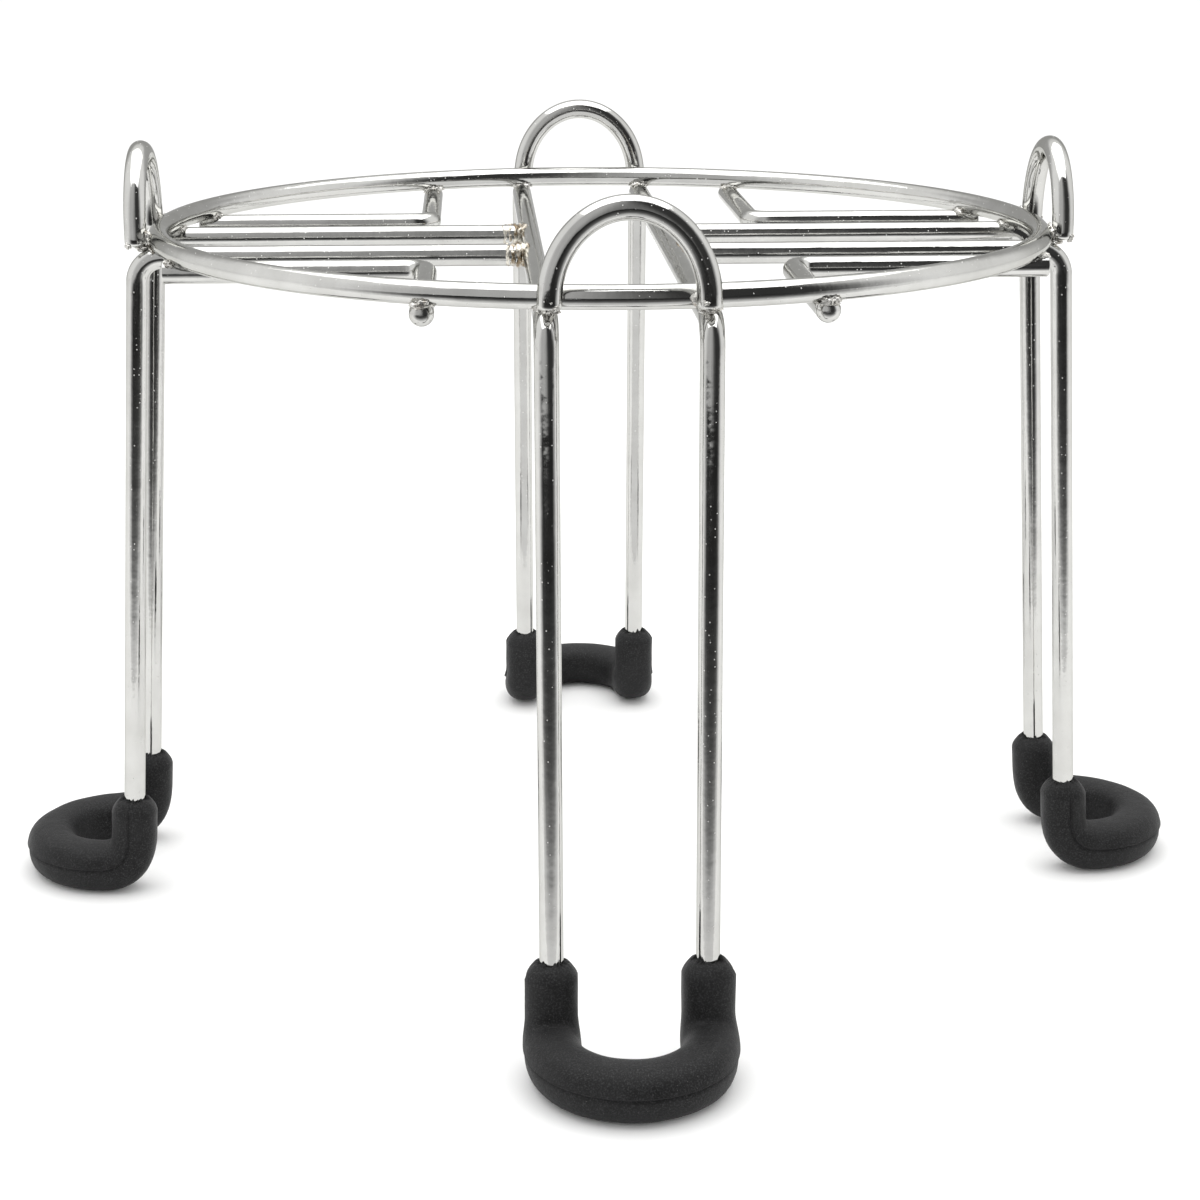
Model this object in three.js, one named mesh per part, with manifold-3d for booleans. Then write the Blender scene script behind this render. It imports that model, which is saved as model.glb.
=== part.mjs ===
// Round wire stand with guard loops and rubber feet.
// Millimetres, +Z up. The origin is on the floor under the middle of the ring, and the front leg is on -Y.
import * as THREE from 'three';
import Module from 'manifold-3d';
import { mergeVertices } from 'three/addons/utils/BufferGeometryUtils.js';

const wasm = await Module();
wasm.setup();

// Wire
const WIRE_DIAMETER = 5.6;
const WIRE_RADIUS = WIRE_DIAMETER / 2;
const WIRE_SIDES = 12;
const GAP = 0.25;

// Ring
const RING_RADIUS = 114;
const RING_HEIGHT = 177;
const RING_STEPS = 96;

// Shelf wires lie under the ring, pressed a little into it by the crossing welds
const WELD_SINK = 0.9;
const SHELF_HEIGHT = RING_HEIGHT - WIRE_DIAMETER + WELD_SINK;

// Legs, each a pair of wires
const PAIR_HALF_SPACING = 18;
const LEG_TOP_REACH = 118.3;
const LEG_FOOT_REACH = 128.2;
const LEG_TOP_BEND = 6.5;
const LEG_FOOT_BEND = 7;
const FOOT_LOOP_REACH = 153;

// Guard loops around the ring
const GUARD_HALF_WIDTH = 17.3;
const GUARD_RISE = 20;
const GUARD_FOOT_DROP = 2;
const GUARD_STEPS = 18;
const GUARD_REACH = Math.sqrt((RING_RADIUS + WIRE_DIAMETER + GAP) ** 2 - GUARD_HALF_WIDTH ** 2);

// Bent shelf wires in the four quarters of the ring
const ANGLE_WIRE_OFFSET_X = 45;
const ANGLE_WIRE_OFFSET_Y = 43;
const ANGLE_WIRE_BEND = 5;
const ANGLE_WIRE_OVERHANG = 3.5;
const DOME_ANGLES = [20, 40, 60, 78].map(THREE.MathUtils.degToRad);

// Rubber feet, thicker in the loop that lies on the floor than up the wires
const RUBBER_LOOP_RADIUS = 6.6;
const RUBBER_UPRIGHT_RADIUS = 6;
const RUBBER_TOP = 26;
const RUBBER_BORE_RADIUS = WIRE_RADIUS + 0.3;
const RUBBER_LIP_RADIUS = 4.4;
const RUBBER_LIP_HEIGHT = 2.2;

const BEND_STEP_ANGLE = THREE.MathUtils.degToRad(15);
const SIDES = { front: -90, right: 0, back: 90, left: 180 };

const chrome = (name) => new THREE.MeshStandardMaterial({ name, color: 0xd8d8d6, roughness: 0.12, metalness: 1 });
const rubber = (name) => new THREE.MeshStandardMaterial({ name, color: 0x26262a, roughness: 0.8, metalness: 0 });

/** A regular section whose flat sides are at the given distance from its middle and face along its axes. */
function flatSidedSection(inradius) {
  const cornerRadius = inradius / Math.cos(Math.PI / WIRE_SIDES);
  return Array.from({ length: WIRE_SIDES }, (_, i) => {
    const angle = ((i + 0.5) / WIRE_SIDES) * 2 * Math.PI;
    return new THREE.Vector2(Math.cos(angle), Math.sin(angle)).multiplyScalar(cornerRadius);
  });
}

/** Points of the arc that rounds a corner with the given bend radius. */
function roundedCorner(before, corner, after, bendRadius) {
  const inward = before.clone().sub(corner).normalize();
  const outward = after.clone().sub(corner).normalize();
  const halfAngle = inward.angleTo(outward) / 2;
  const setback = bendRadius / Math.tan(halfAngle);
  const towardMiddle = inward.clone().add(outward).normalize();
  const middle = corner.clone().addScaledVector(towardMiddle, bendRadius / Math.sin(halfAngle));
  const first = corner.clone().addScaledVector(inward, setback).sub(middle);
  const last = corner.clone().addScaledVector(outward, setback).sub(middle);
  const turn = Math.PI - 2 * halfAngle;
  const steps = Math.max(2, Math.ceil(turn / BEND_STEP_ANGLE));
  return Array.from({ length: steps + 1 }, (_, i) => {
    const firstShare = Math.sin((1 - i / steps) * turn) / Math.sin(turn);
    const lastShare = Math.sin((i / steps) * turn) / Math.sin(turn);
    return middle.clone().addScaledVector(first, firstShare).addScaledVector(last, lastShare);
  });
}

/** A centreline through corners [point, bend radius], with no radius at a plain end. */
function bentPath(corners, closed = false) {
  const count = corners.length;
  const points = corners.flatMap(([corner, bendRadius], i) => {
    if (!bendRadius) {
      return [corner];
    }
    return roundedCorner(corners[(i + count - 1) % count][0], corner, corners[(i + 1) % count][0], bendRadius);
  });
  return points.filter((point, i) => (i === 0 && !closed) || point.distanceTo(points.at(i - 1)) > 0.01);
}

/** The two section axes at each point of a centreline, carried along its straight pieces without twist. */
function carriedAxes(points, firstAxis, closed) {
  const count = points.length;
  const squaredTo = (axis, direction) => axis.clone().addScaledVector(direction, -axis.dot(direction)).normalize();
  let axis = firstAxis;
  return points.map((point, i) => {
    const before = closed ? points.at(i - 1) : points[Math.max(i - 1, 0)];
    const after = closed ? points[(i + 1) % count] : points[Math.min(i + 1, count - 1)];
    const tangent = after.clone().sub(before).normalize();
    if (i > 0) {
      axis = squaredTo(axis, point.clone().sub(before).normalize());
    }
    const sectionAxis = squaredTo(axis, tangent);
    return [sectionAxis, tangent.clone().cross(sectionAxis)];
  });
}

/** Places a section around each point; the scale at each point shrinks it towards the centreline. */
function sectionRings(points, axes, section, scales) {
  return points.map((point, i) => section.map(({ x, y }) => point.clone()
    .addScaledVector(axes[i][0], x * scales[i])
    .addScaledVector(axes[i][1], y * scales[i])));
}

/** Collects the triangles that join each ring of points to the next. */
function joinRings(triangles, rings, closed) {
  const last = closed ? rings.length : rings.length - 1;
  for (let i = 0; i < last; i += 1) {
    const ring = rings[i];
    const next = rings[(i + 1) % rings.length];
    ring.forEach((_, k) => {
      const m = (k + 1) % ring.length;
      triangles.push([ring[k], ring[m], next[m]], [ring[k], next[m], next[k]]);
    });
  }
}

function geometryOf(triangles) {
  const loose = new THREE.BufferGeometry().setFromPoints(triangles.flat());
  const geometry = mergeVertices(loose, 1e-4);
  geometry.computeVertexNormals();
  return geometry;
}

/** A solid wire along a centreline, flat at its ends unless it is closed. */
function wireGeometry(points, firstAxis, { closed = false, scales = points.map(() => 1) } = {}) {
  const axes = carriedAxes(points, firstAxis, closed);
  const rings = sectionRings(points, axes, flatSidedSection(WIRE_RADIUS), scales);
  const triangles = [];
  joinRings(triangles, rings, closed);
  if (!closed) {
    const firstRing = rings[0];
    const lastRing = rings.at(-1);
    firstRing.forEach((_, k) => {
      const m = (k + 1) % WIRE_SIDES;
      triangles.push([points[0], firstRing[m], firstRing[k]], [points.at(-1), lastRing[k], lastRing[m]]);
    });
  }
  return geometryOf(triangles);
}

/** A sleeve with a bore along a centreline, its mouths closed by flat rims. */
function sleeveGeometry(points, firstAxis, outerScales) {
  const axes = carriedAxes(points, firstAxis, false);
  const plainScales = points.map(() => 1);
  const outer = sectionRings(points, axes, flatSidedSection(RUBBER_LOOP_RADIUS), outerScales);
  const bore = sectionRings(points, axes, flatSidedSection(RUBBER_BORE_RADIUS), plainScales);
  const triangles = [];
  joinRings(triangles, outer, false);
  joinRings(triangles, [...bore].reverse(), false);
  joinRings(triangles, [outer.at(-1), bore.at(-1)], false);
  joinRings(triangles, [bore[0], outer[0]], false);
  return geometryOf(triangles);
}

function solidOf(geometry) {
  const merged = geometry.clone();
  merged.deleteAttribute('normal');
  const welded = mergeVertices(merged, 1e-4);
  return new wasm.Manifold(new wasm.Mesh({
    numProp: 3,
    vertProperties: new Float32Array(welded.attributes.position.array),
    triVerts: new Uint32Array(welded.index.array),
  }));
}

/** A wire with a shallow saddle where it passes under the ring. */
function saddled(geometry) {
  const cut = solidOf(geometry).subtract(solidOf(ringGeometry(WIRE_RADIUS + GAP))).getMesh();
  const result = new THREE.BufferGeometry();
  result.setAttribute('position', new THREE.BufferAttribute(cut.vertProperties, 3));
  result.setIndex(new THREE.BufferAttribute(cut.triVerts, 1));
  result.computeVertexNormals();
  return result;
}

function ringGeometry(sectionRadius) {
  const circle = Array.from({ length: RING_STEPS }, (_, i) => {
    const angle = ((i + 0.5) / RING_STEPS) * 2 * Math.PI;
    return new THREE.Vector3(RING_RADIUS * Math.cos(angle), RING_RADIUS * Math.sin(angle), RING_HEIGHT);
  });
  const up = new THREE.Vector3(0, 0, 1);
  const axes = carriedAxes(circle, up, true);
  const scale = sectionRadius / WIRE_RADIUS;
  const triangles = [];
  joinRings(triangles, sectionRings(circle, axes, flatSidedSection(WIRE_RADIUS), circle.map(() => scale)), true);
  return geometryOf(triangles);
}

/** Turns points given as reach from the middle, sideways offset and height to face one side. */
function facing(side) {
  const angle = THREE.MathUtils.degToRad(SIDES[side]);
  const outward = new THREE.Vector3(Math.cos(angle), Math.sin(angle), 0);
  const sideways = new THREE.Vector3(-outward.y, outward.x, 0);
  return (reach, offset, height) => new THREE.Vector3(0, 0, height)
    .addScaledVector(outward, reach)
    .addScaledVector(sideways, offset);
}

/** Corners of one leg: down from the shelf, out along the floor, around the loop and back up. */
function legCorners(side) {
  const at = facing(side);
  const halfLeg = (offset) => [
    [at(LEG_TOP_REACH, offset, SHELF_HEIGHT), LEG_TOP_BEND],
    [at(LEG_FOOT_REACH, offset, RUBBER_LOOP_RADIUS), LEG_FOOT_BEND],
    [at(FOOT_LOOP_REACH, offset, RUBBER_LOOP_RADIUS), PAIR_HALF_SPACING],
  ];
  return [...halfLeg(-PAIR_HALF_SPACING), ...halfLeg(PAIR_HALF_SPACING).reverse()];
}

/** One closed wire makes the front leg, the back leg and the two shelf wires between them. */
function longLegFrame() {
  const path = bentPath([...legCorners('front'), ...legCorners('back')], true);
  return saddled(wireGeometry(path, new THREE.Vector3(0, 0, 1), { closed: true }));
}

/** A hairpin wire makes a side leg and two shelf wires that butt against the long frame. */
function sideLeg(side) {
  const at = facing(side);
  const buttReach = PAIR_HALF_SPACING + WIRE_RADIUS + GAP;
  const path = bentPath([
    [at(buttReach, -PAIR_HALF_SPACING, SHELF_HEIGHT), 0],
    ...legCorners(side),
    [at(buttReach, PAIR_HALF_SPACING, SHELF_HEIGHT), 0],
  ]);
  return saddled(wireGeometry(path, new THREE.Vector3(0, 0, 1)));
}

/** An arch of wire that stands outside the ring, with both feet welded to it. */
function guardLoop(side) {
  const at = facing(side);
  const arch = Array.from({ length: GUARD_STEPS + 1 }, (_, i) => {
    const angle = (i / GUARD_STEPS) * Math.PI;
    const offset = -GUARD_HALF_WIDTH * Math.cos(angle);
    return at(GUARD_REACH, offset, RING_HEIGHT + GUARD_RISE * Math.sin(angle));
  });
  const footHeight = RING_HEIGHT - GUARD_FOOT_DROP;
  const path = [
    at(GUARD_REACH, -GUARD_HALF_WIDTH, footHeight),
    ...arch,
    at(GUARD_REACH, GUARD_HALF_WIDTH, footHeight),
  ];
  return wireGeometry(path, at(1, 0, 0));
}

/** A short wire bent at a right angle, with a cut end at the side and a domed or cut end in line with a leg. */
function angleWire(signX, signY) {
  const reachAt = (offset) => Math.sqrt(RING_RADIUS ** 2 - offset ** 2);
  const x = signX * ANGLE_WIRE_OFFSET_X;
  const y = signY * ANGLE_WIRE_OFFSET_Y;
  const sideEnd = signX * (reachAt(y) + ANGLE_WIRE_OVERHANG);
  const domed = signY < 0;
  const longEnd = reachAt(x) + (domed ? ANGLE_WIRE_OVERHANG - WIRE_RADIUS : ANGLE_WIRE_OVERHANG);
  const corners = [
    [new THREE.Vector3(sideEnd, y, SHELF_HEIGHT), 0],
    [new THREE.Vector3(x, y, SHELF_HEIGHT), ANGLE_WIRE_BEND],
    [new THREE.Vector3(x, signY * longEnd, SHELF_HEIGHT), 0],
  ];
  const path = bentPath(corners);
  const scales = path.map(() => 1);
  if (domed) {
    DOME_ANGLES.forEach((angle) => {
      path.push(new THREE.Vector3(x, signY * (longEnd + WIRE_RADIUS * Math.sin(angle)), SHELF_HEIGHT));
      scales.push(Math.cos(angle));
    });
  }
  return saddled(wireGeometry(path, new THREE.Vector3(0, 0, 1), { scales }));
}

/** A moulded rubber sleeve over the bottom of a leg, from one upright around the loop to the other. */
function rubberFoot(side) {
  const at = facing(side);
  const slope = (LEG_FOOT_REACH - LEG_TOP_REACH) / (SHELF_HEIGHT - RUBBER_LOOP_RADIUS);
  const shoulder = RUBBER_TOP - RUBBER_LIP_HEIGHT;
  const upright = (offset, height) => {
    return [at(LEG_FOOT_REACH - slope * (height - RUBBER_LOOP_RADIUS), offset, height), 0];
  };
  const path = bentPath([
    upright(-PAIR_HALF_SPACING, RUBBER_TOP),
    upright(-PAIR_HALF_SPACING, shoulder),
    ...legCorners(side).slice(1, -1),
    upright(PAIR_HALF_SPACING, shoulder),
    upright(PAIR_HALF_SPACING, RUBBER_TOP),
  ]);
  const bendTop = RUBBER_LOOP_RADIUS + LEG_FOOT_BEND;
  const outerScales = path.map(({ z }) => {
    const climb = THREE.MathUtils.clamp((z - RUBBER_LOOP_RADIUS) / (bendTop - RUBBER_LOOP_RADIUS), 0, 1);
    return THREE.MathUtils.lerp(RUBBER_LOOP_RADIUS, RUBBER_UPRIGHT_RADIUS, climb) / RUBBER_LOOP_RADIUS;
  });
  outerScales[0] = RUBBER_LIP_RADIUS / RUBBER_LOOP_RADIUS;
  outerScales[path.length - 1] = outerScales[0];
  return sleeveGeometry(path, at(1, 0, 0), outerScales);
}

const stand = new THREE.Group();
stand.name = 'round_wire_stand';

function addNode(name, geometry, material) {
  const mesh = new THREE.Mesh(geometry, material);
  mesh.name = name;
  stand.add(mesh);
}

addNode('ring', ringGeometry(WIRE_RADIUS), chrome('ring'));
addNode('leg_frame_front_back', longLegFrame(), chrome('leg_frame_front_back'));
['left', 'right'].forEach((side) => addNode(`leg_${side}`, sideLeg(side), chrome(`leg_${side}`)));
[['front_left', -1, -1], ['front_right', 1, -1], ['back_left', -1, 1], ['back_right', 1, 1]]
  .forEach(([quarter, signX, signY]) => {
    addNode(`angle_wire_${quarter}`, angleWire(signX, signY), chrome(`angle_wire_${quarter}`));
  });
Object.keys(SIDES).forEach((side) => {
  addNode(`guard_loop_${side}`, guardLoop(side), chrome(`guard_loop_${side}`));
  addNode(`foot_${side}`, rubberFoot(side), rubber(`foot_${side}`));
});

export default stand;
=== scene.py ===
"""A round chrome wire stand on rubber feet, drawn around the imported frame.

Lengths are metres. Shapes are worked out from the frame's boxes: every wire is a fine round sweep along
the line of its CAD node, with the welds, the end shapes and the moulded feet added.
"""
import math
import random

import bmesh
import bpy
import numpy as np
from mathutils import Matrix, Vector, noise


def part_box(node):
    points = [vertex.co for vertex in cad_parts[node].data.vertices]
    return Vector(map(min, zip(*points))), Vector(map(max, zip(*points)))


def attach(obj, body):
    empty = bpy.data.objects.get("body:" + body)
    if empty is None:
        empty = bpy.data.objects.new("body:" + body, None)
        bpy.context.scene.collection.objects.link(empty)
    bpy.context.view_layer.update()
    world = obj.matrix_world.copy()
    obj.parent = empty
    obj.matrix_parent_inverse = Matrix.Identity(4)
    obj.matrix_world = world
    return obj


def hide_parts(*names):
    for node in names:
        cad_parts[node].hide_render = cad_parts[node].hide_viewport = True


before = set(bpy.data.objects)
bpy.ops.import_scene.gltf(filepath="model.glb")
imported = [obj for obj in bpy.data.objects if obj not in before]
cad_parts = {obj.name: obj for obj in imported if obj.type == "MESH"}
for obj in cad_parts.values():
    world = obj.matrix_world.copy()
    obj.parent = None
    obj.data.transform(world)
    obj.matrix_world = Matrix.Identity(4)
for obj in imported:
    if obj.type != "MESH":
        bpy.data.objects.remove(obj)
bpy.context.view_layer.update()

MM = 0.001
UP = Vector((0, 0, 1))
WORLD_AXES = (Vector((1, 0, 0)), Vector((0, 1, 0)), UP)
OUTWARD = {
    "front": Vector((0, -1, 0)),
    "right": Vector((1, 0, 0)),
    "back": Vector((0, 1, 0)),
    "left": Vector((-1, 0, 0)),
}
QUARTERS = {"front_left": (-1, -1), "front_right": (1, -1), "back_left": (-1, 1), "back_right": (1, 1)}

# Sizes read from the frame
ring_low, ring_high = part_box("ring")
long_low, long_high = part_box("leg_frame_front_back")
side_low, side_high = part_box("leg_left")
guard_low, guard_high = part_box("guard_loop_front")
angle_low, angle_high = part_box("angle_wire_front_left")
_, foot_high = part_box("foot_front")

WIRE_RADIUS = (ring_high.z - ring_low.z) / 2
RING_HEIGHT = (ring_high.z + ring_low.z) / 2
RING_RADIUS = (ring_high.x - ring_low.x) / 2 - WIRE_RADIUS
SHELF_HEIGHT = (angle_high.z + angle_low.z) / 2
PAIR_OFFSET = (long_high.x - long_low.x) / 2 - WIRE_RADIUS
LOOP_REACH = -side_low.x - WIRE_RADIUS
BUTT_REACH = -side_high.x
LOOP_RUBBER = foot_high.x - PAIR_OFFSET
GUARD_REACH = -(guard_low.y + guard_high.y) / 2
GUARD_OFFSET = (guard_high.x - guard_low.x) / 2 - WIRE_RADIUS
GUARD_RISE = guard_high.z - WIRE_RADIUS - RING_HEIGHT
GUARD_FOOT = guard_low.z
ANGLE_RUN_Y = -(angle_high.y - WIRE_RADIUS)
ANGLE_RUN_X = -(angle_high.x - WIRE_RADIUS)
ANGLE_SIDE_END = -angle_low.x
ANGLE_LONG_END = -angle_low.y
RUBBER_TOP = foot_high.z

# Bends, and how the rubber is shaped
SAME_PLACE = 0.01 * MM
LEG_TOP_BEND = 6.5 * MM
LEG_FOOT_BEND = 7 * MM
ANGLE_BEND = 5 * MM
FOOT_LOOP_BEND = PAIR_OFFSET * 0.999
UPRIGHT_RUBBER = LOOP_RUBBER * 0.91
LIP_HEIGHT = 3.2 * MM
LIP_THICKNESS = 1.3 * MM
SEAM_DROP = 0.22

# A leg runs straight from just inside the guard loop's plane to the middle of its foot's uprights
LEG_TOP_REACH = GUARD_REACH - 0.3 * MM
shoulder_reach = -foot_high.y + UPRIGHT_RUBBER
shoulder_drop = SHELF_HEIGHT - (RUBBER_TOP - LIP_HEIGHT)
LEG_SLOPE = (shoulder_reach - LEG_TOP_REACH) / shoulder_drop
LEG_FOOT_REACH = LEG_TOP_REACH + LEG_SLOPE * (SHELF_HEIGHT - LOOP_RUBBER)


# Lines

def facing(side):
    """Turns reach from the middle, sideways offset and height into a point on one side of the stand."""
    outward = OUTWARD[side]
    sideways = UP.cross(outward)
    return lambda reach, offset, height: outward * reach + sideways * offset + UP * height


def rounded_corner(before, corner, after, radius, step):
    """Points along the arc that rounds a corner."""
    inward = (before - corner).normalized()
    outward = (after - corner).normalized()
    half = inward.angle(outward) / 2
    middle = corner + (inward + outward).normalized() * (radius / math.sin(half))
    first = corner + inward * (radius / math.tan(half)) - middle
    last = corner + outward * (radius / math.tan(half)) - middle
    turn = math.pi - 2 * half
    count = max(3, math.ceil(turn * radius / step))
    return [
        middle + first * (math.sin((1 - i / count) * turn) / math.sin(turn))
        + last * (math.sin(i / count * turn) / math.sin(turn))
        for i in range(count + 1)
    ]


def bent_line(corners, closed=False, step=0.6 * MM, straight_step=2.5 * MM):
    """A line through corners (point, bend radius), with its straight stretches cut into short steps."""
    count = len(corners)
    bends = []
    for i, (corner, radius) in enumerate(corners):
        if radius:
            before = corners[i - 1][0]
            after = corners[(i + 1) % count][0]
            bends.extend(rounded_corner(before, corner, after, radius, step))
        else:
            bends.append(corner)
    if closed:
        bends.append(bends[0])
    line = [bends[0]]
    for start, end in zip(bends, bends[1:]):
        length = (end - start).length
        if length > SAME_PLACE:
            pieces = math.ceil(length / straight_step)
            line.extend(start.lerp(end, k / pieces) for k in range(1, pieces + 1))
    if closed:
        line.pop()
    return line


def leg_corners(side):
    """Corners of a leg: down from the shelf, out along the floor, around the loop and back up."""
    at = facing(side)

    def half_leg(offset):
        return [
            (at(LEG_TOP_REACH, offset, SHELF_HEIGHT), LEG_TOP_BEND),
            (at(LEG_FOOT_REACH, offset, LOOP_RUBBER), LEG_FOOT_BEND),
            (at(LOOP_REACH, offset, LOOP_RUBBER), FOOT_LOOP_BEND),
        ]
    return half_leg(-PAIR_OFFSET) + half_leg(PAIR_OFFSET)[::-1]


# Sweeps

def carried_axes(line, first_axis, closed):
    """Section axes carried along a line without twist; a closed line spreads what is left over."""
    points = np.array(line)
    if closed:
        tangents = np.roll(points, -1, 0) - np.roll(points, 1, 0)
    else:
        tangents = np.gradient(points, axis=0)
    tangents /= np.linalg.norm(tangents, axis=1)[:, None]
    axis = np.array(first_axis, float)
    axes = []
    for tangent in tangents:
        axis = axis - tangent * axis.dot(tangent)
        axis /= np.linalg.norm(axis)
        axes.append(axis)
    axes = np.array(axes)
    others = np.cross(tangents, axes)
    if closed:
        back = axes[-1] - tangents[0] * axes[-1].dot(tangents[0])
        left_over = math.atan2(back.dot(others[0]), back.dot(axes[0]))
        turn = -left_over * np.arange(len(points)) / len(points)
        cosine = np.cos(turn)[:, None]
        sine = np.sin(turn)[:, None]
        axes, others = axes * cosine + others * sine, others * cosine - axes * sine
    return points, axes, others


def directions_around(axes, others, angles):
    """Directions out of each section of a line, at each of the angles."""
    cosine = np.cos(angles)[None, :, None]
    sine = np.sin(angles)[None, :, None]
    return axes[:, None, :] * cosine + others[:, None, :] * sine


def distance_along(points):
    """How far along a line each of its points is."""
    return np.concatenate([[0], np.cumsum(np.linalg.norm(np.diff(points, axis=0), axis=1))])


def grid_faces(rows, columns, closed):
    """Quads that join each row of a grid to the next, with the columns going all the way round."""
    faces = []
    for i in range(rows if closed else rows - 1):
        below = (i + 1) % rows * columns
        for k in range(columns):
            m = (k + 1) % columns
            faces.append((i * columns + k, i * columns + m, below + m, below + k))
    return faces


def new_object(name, vertices, faces, material, smooth=True):
    """A mesh object with one material, linked to the scene."""
    mesh = bpy.data.meshes.new(name)
    mesh.from_pydata([tuple(v) for v in vertices], [], faces)
    mesh.validate()
    piece = bpy.data.objects.new(name, mesh)
    bpy.context.scene.collection.objects.link(piece)
    mesh.materials.append(material)
    if smooth:
        mesh.polygons.foreach_set("use_smooth", [True] * len(mesh.polygons))
    mesh.update()
    return piece


def add_wire_map(mesh, columns, along, circumference):
    """A UV map in metres: U around the wire and V along it, so that drawing marks follow the wire."""
    layer = mesh.uv_layers.new(name="wire")
    for polygon in mesh.polygons:
        spots = [v % columns for v in polygon.vertices]
        wraps = max(spots) - min(spots) > columns // 2
        for loop, vertex, spot in zip(polygon.loop_indices, polygon.vertices, spots):
            around = spot + (columns if wraps and spot < columns // 2 else 0)
            row = min(vertex // columns, len(along) - 1)
            layer.data[loop].uv = (around / columns * circumference, along[row])


def add_heat(mesh, hot_spots):
    """A number on each point that falls from 1 at a weld to 0 a few millimetres away."""
    places = np.zeros(len(mesh.vertices) * 3)
    mesh.vertices.foreach_get("co", places)
    places = places.reshape(-1, 3)
    heat = np.zeros(len(places))
    for spot, reach in hot_spots:
        away = np.linalg.norm(places - np.array(spot), axis=1)
        heat = np.maximum(heat, np.exp(-((away / reach) ** 2)))
    layer = mesh.attributes.new("heat", "FLOAT", "POINT")
    layer.data.foreach_set("value", heat.astype(np.float32))


def end_stations(kind):
    """How a wire's end runs on past its last point: (distance on, share of the full radius)."""
    if kind == "domed":
        angles = [math.radians(a) for a in range(8, 90, 8)]
        return [(WIRE_RADIUS * math.sin(a), math.cos(a)) for a in angles]
    bevel = 1.2 * MM if kind == "melted" else 0.5 * MM
    angles = [math.radians(a) for a in range(15, 91, 15)]
    inner = 1 - bevel / WIRE_RADIUS
    return [(bevel * math.sin(a), inner + (1 - inner) * math.cos(a)) for a in angles]


def wire(name, node, line, first_axis, hot_spots, closed=False, ends=("cut", "cut"), sides=36):
    """A round wire swept along a line, with its ends cut or domed, that stands for one CAD node."""
    line = list(line)
    shares = [1.0] * len(line)
    if not closed:
        for kind, last, inner in ((ends[0], 0, 1), (ends[1], -1, -2)):
            stations = end_stations(kind)
            onward = (line[last] - line[inner]).normalized()
            length = stations[-1][0]
            tip = line[last] - onward * length
            added = [tip + onward * distance for distance, _ in stations]
            thinner = [share for _, share in stations]
            if last == 0:
                line = added[::-1] + [tip] + line[1:]
                shares = thinner[::-1] + shares
            else:
                line = line[:-1] + [tip] + added
                shares = shares + thinner
    points, axes, others = carried_axes(line, first_axis, closed)
    angles = np.arange(sides) / sides * 2 * math.pi
    around = directions_around(axes, others, angles)
    reach = np.array(shares)[:, None, None] * WIRE_RADIUS
    vertices = (points[:, None, :] + around * reach).reshape(-1, 3)
    faces = grid_faces(len(points), sides, closed)
    if not closed:
        last_row = (len(points) - 1) * sides
        faces.append(tuple(range(sides))[::-1])
        faces.append(tuple(last_row + k for k in range(sides)))
    piece = new_object(name, vertices, faces, CHROME)
    add_wire_map(piece.data, sides, distance_along(points), 2 * math.pi * WIRE_RADIUS)
    add_heat(piece.data, hot_spots)
    finish_piece(piece, node)
    return piece


def finish_piece(piece, node):
    """Hangs a piece on the root body and hides the CAD node that it stands for, if there is one."""
    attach(piece, "root")
    if node:
        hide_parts(node)


# Materials

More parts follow.
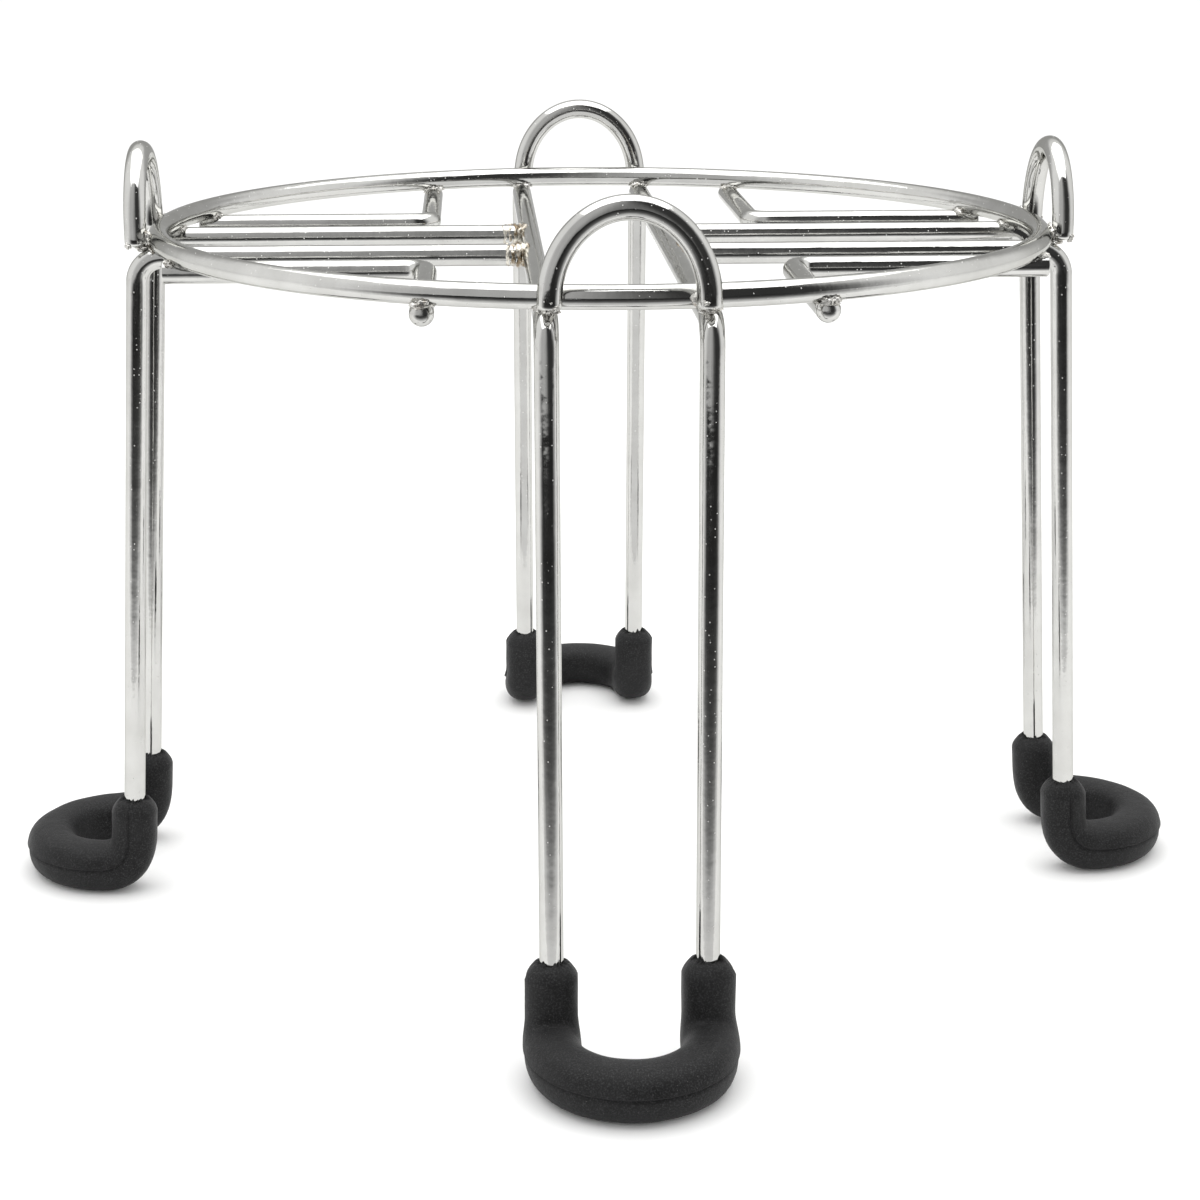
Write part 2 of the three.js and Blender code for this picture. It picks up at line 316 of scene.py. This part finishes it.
class Shader:
    """A node material with a Principled surface and short ways to add nodes."""

    def __init__(self, name, **sockets):
        self.material = bpy.data.materials.new(name)
        self.material.use_nodes = True
        self.tree = self.material.node_tree
        self.surface = self.tree.nodes["Principled BSDF"]
        for socket, value in sockets.items():
            self.surface.inputs[socket.replace("_", " ")].default_value = value

    def add(self, kind, inputs=None, **settings):
        node = self.tree.nodes.new(kind)
        for setting, value in settings.items():
            setattr(node, setting, value)
        for socket, value in (inputs or {}).items():
            self.feed(node.inputs[socket], value)
        return node

    def feed(self, socket, value):
        if isinstance(value, bpy.types.NodeSocket):
            self.tree.links.new(value, socket)
        else:
            socket.default_value = value

    def set(self, socket, value):
        self.feed(self.surface.inputs[socket], value)

    def place(self, scale, coordinates="Object"):
        if coordinates == "wire":
            source = self.add("ShaderNodeUVMap", uv_map="wire").outputs["UV"]
        else:
            source = self.add("ShaderNodeTexCoord").outputs[coordinates]
        mapping = self.add("ShaderNodeMapping", {"Vector": source, "Scale": scale})
        return mapping.outputs["Vector"]

    def noise(self, scale, detail=3.0, roughness=0.55, coordinates="Object", stretch=(1, 1, 1)):
        inputs = {
            "Vector": self.place(stretch, coordinates),
            "Scale": scale,
            "Detail": detail,
            "Roughness": roughness,
        }
        return self.add("ShaderNodeTexNoise", inputs).outputs["Fac"]

    def band(self, value, low, high, out_low=0.0, out_high=1.0):
        inputs = {"Value": value, "From Min": low, "From Max": high, "To Min": out_low, "To Max": out_high}
        return self.add("ShaderNodeMapRange", inputs).outputs["Result"]

    def math(self, operation, a, b=0.0):
        node = self.add("ShaderNodeMath", operation=operation)
        self.feed(node.inputs[0], a)
        self.feed(node.inputs[1], b)
        return node.outputs["Value"]

    def mix(self, share, a, b):
        node = self.add("ShaderNodeMix", data_type="RGBA")
        self.feed(node.inputs["Factor"], share)
        self.feed(node.inputs["A"], a)
        self.feed(node.inputs["B"], b)
        return node.outputs["Result"]

    def bump(self, height, distance, strength=1.0, under=None):
        inputs = {"Height": height, "Distance": distance, "Strength": strength}
        if under is not None:
            inputs["Normal"] = under
        return self.add("ShaderNodeBump", inputs).outputs["Normal"]

    def specks(self, spacing, size, share):
        """A mask of small spots, about one to a cell of the given spacing, in a share of the cells."""
        cells = self.add("ShaderNodeTexVoronoi", {"Vector": self.place((1, 1, 1)), "Scale": 1 / spacing})
        near = self.band(cells.outputs["Distance"], size / spacing, 0.4 * size / spacing)
        lottery = self.add("ShaderNodeSeparateColor", {"Color": cells.outputs["Color"]}).outputs["Red"]
        return self.math("MULTIPLY", near, self.math("GREATER_THAN", lottery, 1 - share))


def chrome_material():
    """Bright plating: long drawing marks, soft waves, pits and dust, and a dull straw tint at welds."""
    shader = Shader("chrome_wire", Metallic=1.0, Specular_Tint=(0.66, 0.66, 0.64, 1))
    heat = shader.add("ShaderNodeAttribute", attribute_name="heat").outputs["Fac"]
    tint = shader.math("MULTIPLY", heat, shader.band(shader.noise(260, detail=4), 0.4, 0.66))
    clouding = shader.noise(90, detail=5, roughness=0.6)
    bright = shader.mix(shader.band(clouding, 0.3, 0.7), (0.53, 0.527, 0.51, 1), (0.61, 0.608, 0.592, 1))
    pits = shader.specks(1.2 * MM, 0.16 * MM, 0.55)
    streaks = shader.noise(1.0, detail=3, coordinates="wire", stretch=(1500, 14, 1))
    pitted = shader.mix(shader.math("MULTIPLY", pits, 0.8), bright, (0.95, 0.94, 0.92, 1))
    shader.set("Base Color", shader.mix(tint, pitted, (0.36, 0.3, 0.21, 1)))
    marks = shader.noise(1.0, detail=2, coordinates="wire", stretch=(5200, 90, 1))
    haze = shader.band(clouding, 0.35, 0.75, 0.06, 0.13)
    scuffed = shader.math("ADD", haze, shader.band(marks, 0.55, 0.8, 0.0, 0.08))
    rough = shader.math("ADD", scuffed, shader.math("MULTIPLY", pits, 0.5))
    shader.set("Roughness", shader.math("ADD", rough, shader.math("MULTIPLY", tint, 0.3)))
    waves = shader.bump(shader.noise(140, detail=3), 0.09 * MM)
    streaked = shader.bump(streaks, 0.03 * MM, under=waves)
    drawn = shader.bump(marks, 0.004 * MM, under=streaked)
    shader.set("Normal", shader.bump(pits, 0.06 * MM, under=drawn))
    return shader.material


def weld_material(name, bright, dull, dull_from, dull_to):
    """Fused metal under thin plating: lumpy and sparkling, stained where the plating is thin."""
    shader = Shader(name, Metallic=1.0)
    stain = shader.band(shader.noise(420, detail=5, roughness=0.65), dull_from, dull_to)
    shader.set("Base Color", shader.mix(stain, bright, dull))
    shader.set("Roughness", shader.band(shader.noise(900, detail=3), 0.3, 0.7, 0.12, 0.48))
    coarse = shader.bump(shader.noise(520, detail=4), 0.35 * MM)
    shader.set("Normal", shader.bump(shader.noise(2600, detail=2), 0.06 * MM, under=coarse))
    return shader.material


def rubber_material():
    """Matt moulded rubber: fine pale speckle, cloudy patches and a little bloom at glancing angles."""
    shader = Shader(
        "foot_rubber", Metallic=0.0, IOR=1.5, Specular_IOR_Level=0.24, Sheen_Weight=0.05, Sheen_Roughness=0.4
    )
    clouds = shader.noise(85, detail=5, roughness=0.6)
    grain = shader.noise(2600, detail=2, roughness=0.7)
    base = shader.mix(shader.band(clouds, 0.35, 0.68), (0.001, 0.001, 0.0012, 1), (0.0095, 0.0095, 0.01, 1))
    speckled = shader.mix(shader.band(grain, 0.48, 0.7), base, (0.028, 0.028, 0.029, 1))
    dust = shader.specks(1.1 * MM, 0.13 * MM, 0.4)
    shader.set("Base Color", shader.mix(shader.math("MULTIPLY", dust, 0.8), speckled, (0.1, 0.097, 0.094, 1)))
    shader.set("Roughness", shader.band(clouds, 0.3, 0.7, 0.5, 0.7))
    soft = shader.bump(shader.noise(240, detail=3), 0.25 * MM)
    shader.set("Normal", shader.bump(grain, 0.09 * MM, under=soft))
    return shader.material


CHROME = chrome_material()
WELD = weld_material("plated_weld", (0.7, 0.69, 0.66, 1), (0.25, 0.21, 0.16, 1), 0.5, 0.72)
STAINED_WELD = weld_material("stained_weld", (0.72, 0.69, 0.62, 1), (0.22, 0.17, 0.11, 1), 0.38, 0.56)
RUBBER = rubber_material()


# Wires

def ring_reach(offset):
    """How far the ring's wire is from the middle, along one axis, at an offset along the other."""
    return math.sqrt(RING_RADIUS ** 2 - offset ** 2)


def shelf_crossings():
    """Middles of the welds where shelf wires pass under the ring, with the direction of each wire."""
    crossings = []
    for sign in (-1, 1):
        for end in (-1, 1):
            reach = end * ring_reach(PAIR_OFFSET)
            crossings.append(((sign * PAIR_OFFSET, reach), Vector((0, 1, 0))))
            crossings.append(((reach, sign * PAIR_OFFSET), Vector((1, 0, 0))))
    for sign_x, sign_y in QUARTERS.values():
        x = sign_x * ANGLE_RUN_X
        y = sign_y * ANGLE_RUN_Y
        crossings.append(((x, sign_y * ring_reach(ANGLE_RUN_X)), Vector((0, 1, 0))))
        crossings.append(((sign_x * ring_reach(ANGLE_RUN_Y), y), Vector((1, 0, 0))))
    height = (SHELF_HEIGHT + RING_HEIGHT) / 2
    return [(Vector((*place, height)), along) for place, along in crossings]


def guard_contacts():
    """Middles of the welds between the ring and the feet of the guard loops, with the outward direction."""
    contacts = []
    for side in OUTWARD:
        at = facing(side)
        for offset in (-GUARD_OFFSET, GUARD_OFFSET):
            foot = at(GUARD_REACH, offset, RING_HEIGHT)
            outward = Vector((foot.x, foot.y, 0)).normalized()
            contacts.append((outward * (RING_RADIUS + WIRE_RADIUS) + UP * (RING_HEIGHT - 0.4 * MM), outward))
    return contacts


def butt_welds():
    """Ends of the side legs' shelf wires, where they meet the long frame, with the direction inwards."""
    welds = []
    for side in ("left", "right"):
        at = facing(side)
        for offset in (-PAIR_OFFSET, PAIR_OFFSET):
            welds.append((at(BUTT_REACH, offset, SHELF_HEIGHT), -OUTWARD[side]))
    return welds


CROSSINGS = shelf_crossings()
GUARD_CONTACTS = guard_contacts()
BUTT_WELDS = butt_welds()
HOT_SPOTS = (
    [(place, 2.4 * MM) for place, _ in CROSSINGS + GUARD_CONTACTS]
    + [(place, 5.0 * MM) for place, _ in BUTT_WELDS]
)


def make_ring():
    """The ring's wire."""
    count = 360
    line = [
        Vector((RING_RADIUS * math.cos(a), RING_RADIUS * math.sin(a), RING_HEIGHT))
        for a in (2 * math.pi * i / count for i in range(count))
    ]
    wire("ring_wire", "ring", line, UP, HOT_SPOTS, closed=True)


def make_long_frame():
    """The closed wire of the front leg, the back leg and the two shelf wires between them."""
    line = bent_line(leg_corners("front") + leg_corners("back"), closed=True)
    wire("front_back_leg_wire", "leg_frame_front_back", line, UP, HOT_SPOTS, closed=True)


def make_side_leg(side):
    """The hairpin wire of a side leg and its two shelf wires."""
    at = facing(side)
    start = (at(BUTT_REACH, -PAIR_OFFSET, SHELF_HEIGHT), 0)
    end = (at(BUTT_REACH, PAIR_OFFSET, SHELF_HEIGHT), 0)
    line = bent_line([start] + leg_corners(side) + [end])
    wire(f"{side}_leg_wire", f"leg_{side}", line, UP, HOT_SPOTS)


def make_guard_loop(side):
    """An arch outside the ring, with the cut ends of its feet melted by the welds."""
    at = facing(side)
    count = 80
    foot = GUARD_FOOT - RING_HEIGHT
    arch = [
        at(GUARD_REACH, -GUARD_OFFSET * math.cos(a), RING_HEIGHT + GUARD_RISE * math.sin(a))
        for a in (math.pi * i / count for i in range(count + 1))
    ]
    line = [at(GUARD_REACH, -GUARD_OFFSET, RING_HEIGHT + foot)] + arch
    line.append(at(GUARD_REACH, GUARD_OFFSET, RING_HEIGHT + foot))
    ends = ("melted", "melted")
    wire(f"{side}_guard_wire", f"guard_loop_{side}", line, OUTWARD[side], HOT_SPOTS, ends=ends)


def make_angle_wire(quarter):
    """A short shelf wire bent at a right angle."""
    sign_x, sign_y = QUARTERS[quarter]
    x = sign_x * ANGLE_RUN_X
    y = sign_y * ANGLE_RUN_Y
    corners = [
        (Vector((sign_x * ANGLE_SIDE_END, y, SHELF_HEIGHT)), 0),
        (Vector((x, y, SHELF_HEIGHT)), ANGLE_BEND),
        (Vector((x, sign_y * ANGLE_LONG_END, SHELF_HEIGHT)), 0),
    ]
    far_end = "domed" if sign_y < 0 else "cut"
    ends = ("cut", far_end)
    wire(f"{quarter}_angle_wire", f"angle_wire_{quarter}", bent_line(corners), UP, HOT_SPOTS, ends=ends)


# Welds

def lump(bead, middle, axes, sizes, roughness, seed):
    """Adds one uneven blob of fused metal to a bmesh, stretched along three axes."""
    blob = bmesh.ops.create_icosphere(bead, subdivisions=4, radius=1)["verts"]
    shift = Vector((seed * 7.3, seed * 3.1, seed * 5.7))
    for vertex in blob:
        direction = vertex.co.normalized()
        swell = 1 + roughness * noise.fractal(direction * 1.6 + shift, 0.7, 2.1, 4)
        local = Vector(direction[i] * sizes[i] for i in range(3)) * swell
        vertex.co = middle + axes[0] * local.x + axes[1] * local.y + axes[2] * local.z


def spatter(bead, middle, reach, count, rng):
    """Adds a few small drops that landed near a weld."""
    for _ in range(count):
        direction = Vector((rng.gauss(0, 1), rng.gauss(0, 1), rng.gauss(0, 0.6))).normalized()
        size = rng.uniform(0.12, 0.26) * MM
        place = middle + direction * reach * rng.uniform(0.9, 1.1)
        lump(bead, place, WORLD_AXES, (size, size, size * 0.8), 0.3, rng.random() * 9)


def make_welds(name, add_lumps, material):
    """One object for all of the welds of a kind."""
    bead = bmesh.new()
    add_lumps(bead, random.Random(7))
    mesh = bpy.data.meshes.new(name)
    bead.to_mesh(mesh)
    bead.free()
    mesh.materials.append(material)
    mesh.polygons.foreach_set("use_smooth", [True] * len(mesh.polygons))
    piece = bpy.data.objects.new(name, mesh)
    bpy.context.scene.collection.objects.link(piece)
    finish_piece(piece, None)


def crossing_lumps(bead, rng):
    """A lump of flash on both sides of each crossing of a shelf wire and the ring."""
    for number, (place, along) in enumerate(CROSSINGS):
        across = UP.cross(along)
        for end in (-1, 1):
            toward = place + along * (end * 1.5 * MM)
            sizes = (rng.uniform(1.5, 2.1) * MM, rng.uniform(2.4, 3.1) * MM, rng.uniform(0.9, 1.25) * MM)
            lump(bead, toward, (along, across, UP), sizes, 0.42, number * 2 + end)


def guard_lumps(bead, rng):
    """A seam between the ring and each guard foot, a fillet below it and drops on its outer face."""
    for number, (place, outward) in enumerate(GUARD_CONTACTS):
        across = UP.cross(outward)
        sizes = (1.1 * MM, rng.uniform(2.5, 2.9) * MM, rng.uniform(2.2, 2.7) * MM)
        lump(bead, place, (outward, across, UP), sizes, 0.4, 40 + number)
        below = place + outward * (1.4 * MM) - UP * (1.9 * MM)
        lump(bead, below, (outward, across, UP), (2.0 * MM, 2.1 * MM, 0.9 * MM), 0.35, 60 + number)
        outer = place + outward * (WIRE_RADIUS * 2 - 0.5 * MM)
        for drop in range(4):
            spot = outer + across * (rng.uniform(-1.5, 1.5) * MM) - UP * (rng.uniform(-0.4, 1.5) * MM)
            sizes = (rng.uniform(0.5, 0.8) * MM, rng.uniform(0.6, 1.1) * MM, rng.uniform(0.5, 1.0) * MM)
            lump(bead, spot, (outward, across, UP), sizes, 0.5, 100 + number * 4 + drop)


BUTT_STEPS = [(-3.6, 1.03), (-2.2, 1.05), (-0.8, 1.1), (0.5, 1.14), (1.5, 1.12)]


def butt_lumps(bead, rng):
    """Bulging rings of weld around the ends of the side legs' shelf wires, with drops of spatter."""
    for number, (place, inward) in enumerate(BUTT_WELDS):
        across = UP.cross(inward)
        for step, width in BUTT_STEPS:
            middle = place + inward * (step * MM)
            radius = WIRE_RADIUS * width
            sizes = (1.5 * MM, radius, radius * rng.uniform(0.96, 1.04))
            lump(bead, middle, (inward, across, UP), sizes, 0.16, 80 + number * 5 + step)
        spatter(bead, place - inward * (1.5 * MM), WIRE_RADIUS * 1.02, 7, rng)


# Rubber feet

def foot_angles():
    """Angles around a foot's section, closer together at the parting line on each side."""
    even = [2 * math.pi * i / 56 for i in range(56)]
    fine = [0.025, 0.05, 0.085]
    extra = [seam + side * step for seam in (-SEAM_DROP, math.pi) for side in (-1, 1) for step in fine]
    return np.array(sorted(set(even + [a % (2 * math.pi) for a in extra])))


def foot_section(angles):
    """A rounded square with a thin parting line on each side and a ledge under the outer one."""
    power = 2.5
    outline = (np.abs(np.cos(angles)) ** power + np.abs(np.sin(angles)) ** power) ** (-1 / power)
    wrapped = (angles + SEAM_DROP + math.pi) % (2 * math.pi) - math.pi
    inner_side = np.abs(wrapped) - math.pi
    flash = 0.10 * np.exp(-((wrapped / 0.03) ** 2)) + 0.12 * np.exp(-((inner_side / 0.03) ** 2))
    below_seam = np.clip(-wrapped, 0, None)
    ledge = np.where(wrapped < 0, np.exp(-((below_seam / 0.45) ** 2)), 0)
    groove = np.exp(-(((wrapped - 0.07) / 0.04) ** 2))
    return outline, (flash + 0.3 * ledge - 0.32 * groove) * MM


def foot_radii(line, lengths):
    """The rubber's radius along its line: full in the loop, slimmer up the wires, rounded at each mouth."""
    radii = []
    for point, along in zip(line, lengths):
        climb = min(max((point[2] - LOOP_RUBBER) / LEG_FOOT_BEND, 0), 1)
        smooth = climb * climb * (3 - 2 * climb)
        radius = LOOP_RUBBER + (UPRIGHT_RUBBER - LOOP_RUBBER) * smooth
        from_mouth = min(along, lengths[-1] - along)
        if from_mouth < LIP_HEIGHT:
            rise = 1 - from_mouth / LIP_HEIGHT
            radius -= (UPRIGHT_RUBBER - WIRE_RADIUS - LIP_THICKNESS) * rise ** 1.5
        radii.append(radius)
    return np.array(radii)


def softened(line, rounds):
    """Relaxes a line's bends a little, leaving its two ends where they are."""
    points = np.array(line)
    for _ in range(rounds):
        points[1:-1] = (points[:-2] + 2 * points[1:-1] + points[2:]) / 4
    return [Vector(point) for point in points]


def make_foot(side, seed):
    """A moulded sleeve over the bottom of a leg, with a torn thin edge where it grips each wire."""
    at = facing(side)

    def upright(offset):
        top = RUBBER_TOP - 0.4 * MM
        return (at(LEG_FOOT_REACH - LEG_SLOPE * (top - LOOP_RUBBER), offset, top), 0)
    corners = [upright(-PAIR_OFFSET)] + leg_corners(side)[1:-1] + [upright(PAIR_OFFSET)]
    line = softened(bent_line(corners, step=0.8 * MM, straight_step=0.8 * MM), 22)
    sideways = UP.cross(OUTWARD[side])
    points, axes, others = carried_axes(line, -sideways, False)
    lengths = distance_along(points)
    radii = foot_radii(points, lengths)
    angles = foot_angles()
    outline, relief = foot_section(angles)
    columns = len(angles)
    around = directions_around(axes, others, angles)
    near_mouth = np.clip(np.minimum(lengths, lengths[-1] - lengths) / LIP_HEIGHT, 0, 1)
    shift = Vector((seed * 11.3, 0, 0))
    unevenness = np.array([
        [noise.noise(Vector(points[i] + around[i, k] * 6 * MM) * 130 + shift) for k in range(columns)]
        for i in range(len(points))
    ])
    reach = radii[:, None] * outline[None, :] + relief[None, :] * near_mouth[:, None] + unevenness * 0.14 * MM
    outer = points[:, None, :] + around * reach[:, :, None]
    outer[:, :, 2] = np.maximum(outer[:, :, 2], 0)
    bore = points[:, None, :] + around * (WIRE_RADIUS + 0.02 * MM)
    for row, inner in ((0, 1), (-1, -2)):
        away = points[row] - points[inner]
        away /= np.linalg.norm(away)
        for k in range(columns):
            east = math.cos(angles[k])
            north = math.sin(angles[k])
            tear = noise.noise(Vector((east * 2.6, north * 2.6, seed * 3.7 + row)))
            fine = noise.noise(Vector((east * 9, north * 9, seed * 1.9 + row)))
            bore[row, k] += away * max(0.05, 0.35 + 1.1 * tear + 1.5 * fine) * MM
    vertices = np.concatenate([outer.reshape(-1, 3), bore.reshape(-1, 3)])
    rows = len(points)
    first_bore = rows * columns
    faces = grid_faces(rows, columns, False)
    faces += [tuple(first_bore + v for v in reversed(face)) for face in grid_faces(rows, columns, False)]
    last = (rows - 1) * columns
    for k in range(columns):
        m = (k + 1) % columns
        faces.append((first_bore + k, first_bore + m, m, k))
        faces.append((last + k, last + m, first_bore + last + m, first_bore + last + k))
    piece = new_object(f"{side}_rubber_foot", vertices, faces, RUBBER)
    finish_piece(piece, f"foot_{side}")


# Stage

ROOM = 1.12
DOME_RADIUS = 1.6
DOME_TOP_FADE = 14
DOME_SHADE_TURN = (-25, 15)
FLOOR_CARD_HEIGHT = 0.4 * MM
FLOOR_HALF_WIDTH = 20
FLOOR_FADES = [(0.19, 1.0), (0.24, 0.8), (0.3, 0.36), (0.38, 0.16), (0.5, 0.07), (0.8, 0.03), (1.7, 0.02)]
CAMERA_AZIMUTH = math.radians(-3.1)
CAMERA_DISTANCE = 0.627
CAMERA_HEIGHT = 0.2615
CAMERA_AIM = Vector((0, 0, 0.0746))
CAMERA_LENS = 71.44
SENSOR_WIDTH = 36


def stage_card(name, patch, material):
    """A glowing card that only shiny surfaces see, so that the wires have something to reflect."""
    vertices, faces, brightness = patch
    card = new_object(name, vertices, faces, material, smooth=False)
    layer = card.data.attributes.new("glow", "FLOAT", "POINT")
    layer.data.foreach_set("value", np.array(brightness, np.float32))
    card.visible_camera = False
    card.visible_diffuse = False
    card.visible_shadow = False
    card.visible_transmission = False


def glow_material():
    """Glows as brightly as the number stored on each point of a card."""
    material = bpy.data.materials.new("card_glow")
    material.use_nodes = True
    tree = material.node_tree
    tree.nodes.clear()
    glow = tree.nodes.new("ShaderNodeAttribute")
    glow.attribute_name = "glow"
    emission = tree.nodes.new("ShaderNodeEmission")
    output = tree.nodes.new("ShaderNodeOutputMaterial")
    tree.links.new(glow.outputs["Fac"], emission.inputs["Strength"])
    tree.links.new(emission.outputs["Emission"], output.inputs["Surface"])
    return material


def smooth_step(low, high, value):
    """Rises from 0 at low to 1 at high, gently at both ends."""
    share = min(max((value - low) / (high - low), 0), 1)
    return share * share * (3 - 2 * share)


def patch_faces(rows, columns):
    """Quads of an open grid with the given numbers of rows and columns of faces."""
    wide = columns + 1
    return [
        (r * wide + c, r * wide + c + 1, (r + 1) * wide + c + 1, (r + 1) * wide + c)
        for r in range(rows)
        for c in range(columns)
    ]


def dome_patch(middle_azimuth, half_width, elevations, edge, dark):
    """Part of a dome around the stand that fades from the room's brightness to one shade on each side."""
    columns = 40
    rows = 28
    vertices = []
    glow = []
    for row in range(rows + 1):
        elevation = elevations[0] + (elevations[1] - elevations[0]) * row / rows
        for column in range(columns + 1):
            offset = half_width * (2 * column / columns - 1)
            azimuth = math.radians(middle_azimuth + offset)
            height = math.radians(elevation)
            vertices.append((
                DOME_RADIUS * math.sin(azimuth) * math.cos(height),
                -DOME_RADIUS * math.cos(azimuth) * math.cos(height),
                DOME_RADIUS * math.sin(height),
            ))
            inside = smooth_step(0, edge, half_width - abs(offset))
            below_top = smooth_step(0, DOME_TOP_FADE, elevations[1] - elevation)
            shade = dark[0] + (dark[1] - dark[0]) * smooth_step(*DOME_SHADE_TURN, offset)
            glow.append(ROOM + (shade - ROOM) * inside * below_top)
    return vertices, patch_faces(rows, columns), glow


def floor_patch(half_width, edge, fades):
    """A fan just above the floor in front of the stand that fades from white to dark with distance."""
    columns = 40
    distances = [fades[0][0]]
    for (near, _), (far, _) in zip(fades, fades[1:]):
        distances.extend(near + (far - near) * k / 6 for k in range(1, 7))
    vertices = []
    glow = []
    for distance in distances:
        shade = float(np.interp(distance, [d for d, _ in fades], [g for _, g in fades]))
        for column in range(columns + 1):
            offset = half_width * (2 * column / columns - 1)
            azimuth = math.radians(offset)
            vertices.append((distance * math.tan(azimuth), -distance, FLOOR_CARD_HEIGHT))
            inside = smooth_step(0, edge, half_width - abs(offset))
            glow.append(ROOM + (shade - ROOM) * inside)
    return vertices, patch_faces(len(distances) - 1, columns), glow


def ceiling_card(half_width, half_depth, y, height, brightness):
    """A level card overhead, for the highlights along the tops of the wires."""
    vertices = [
        (-half_width, y - half_depth, height),
        (half_width, y - half_depth, height),
        (half_width, y + half_depth, height),
        (-half_width, y + half_depth, height),
    ]
    return vertices, [(3, 2, 1, 0)], [brightness] * 4


def upright_card(half_width, y, heights):
    """A plain white card standing across the inside of the stand, in front of the back leg."""
    low, high = heights
    vertices = [(-half_width, y, low), (half_width, y, low), (half_width, y, high), (-half_width, y, high)]
    return vertices, [(0, 1, 2, 3)], [1.0] * 4


def make_floor():
    """A wide pale floor with faint clouding."""
    shader = Shader("pale_floor", Roughness=0.9, Specular_IOR_Level=0.1)
    clouds = shader.band(shader.noise(8), 0.3, 0.7)
    shader.set("Base Color", shader.mix(clouds, (0.9, 0.9, 0.9, 1), (0.92, 0.92, 0.915, 1)))
    half = FLOOR_HALF_WIDTH
    corners = [(-half, -half, 0), (half, -half, 0), (half, half, 0), (-half, half, 0)]
    floor = new_object("floor", corners, [(0, 1, 2, 3)], shader.material, smooth=False)


def make_softbox(name, place, aim, size, brightness):
    """A square light whose own surface is as bright as the number given."""
    data = bpy.data.lights.new(name, "AREA")
    data.shape = "RECTANGLE"
    data.size, data.size_y = size
    data.energy = brightness * math.pi * size[0] * size[1]
    light = bpy.data.objects.new(name, data)
    light.location = place
    light.rotation_mode = "QUATERNION"
    light.rotation_quaternion = (Vector(aim) - Vector(place)).to_track_quat("-Z", "Y")
    bpy.context.scene.collection.objects.link(light)


def make_world(brightness):
    """An even, nearly neutral white all around."""
    world = bpy.data.worlds.new("white_studio")
    world.use_nodes = True
    world.node_tree.nodes["Background"].inputs["Color"].default_value = (1.0, 1.0, 0.995, 1)
    world.node_tree.nodes["Background"].inputs["Strength"].default_value = brightness
    bpy.context.scene.world = world


def make_camera():
    """A long lens a little to the left of the front leg, looking down on the stand."""
    across = CAMERA_DISTANCE * math.sin(CAMERA_AZIMUTH)
    along = -CAMERA_DISTANCE * math.cos(CAMERA_AZIMUTH)
    data = bpy.data.cameras.new("camera")
    data.sensor_width = SENSOR_WIDTH
    data.lens = CAMERA_LENS
    data.clip_start = 0.01
    data.clip_end = 100
    camera = bpy.data.objects.new("camera", data)
    camera.location = (across, along, CAMERA_HEIGHT)
    camera.rotation_mode = "QUATERNION"
    camera.rotation_quaternion = (CAMERA_AIM - camera.location).to_track_quat("-Z", "Y")
    bpy.context.scene.collection.objects.link(camera)
    bpy.context.scene.camera = camera


make_camera()
make_world(ROOM)
make_floor()
make_softbox("overhead_softbox", (0, 0.1, 1.3), (0, 0, 0), (1.7, 1.5), 1.3)
glow = glow_material()
stage_card("bright_ceiling_card", ceiling_card(0.75, 0.7, 0.1, 1.25, 3.0), glow)
stage_card("grey_room_back", dome_patch(180, 62, (-3, 45), 28, (0.6, 0.6)), glow)
stage_card("dark_room_front", dome_patch(4, 80, (-4, 78), 36, (0.64, 0.05)), glow)
stage_card("white_inner_card", upright_card(0.07, 0.05, (0.02, 0.162)), glow)
stage_card("dark_floor_front", floor_patch(76, 36, FLOOR_FADES), glow)

make_ring()
make_long_frame()
for side in ("left", "right"):
    make_side_leg(side)
for quarter in QUARTERS:
    make_angle_wire(quarter)
for number, side in enumerate(OUTWARD):
    make_guard_loop(side)
    make_foot(side, number + 1)
make_welds("crossing_welds", crossing_lumps, WELD)
make_welds("guard_welds", guard_lumps, WELD)
make_welds("butt_welds", butt_lumps, STAINED_WELD)

scene = bpy.context.scene
scene.view_settings.view_transform = "Standard"
scene.view_settings.look = "None"
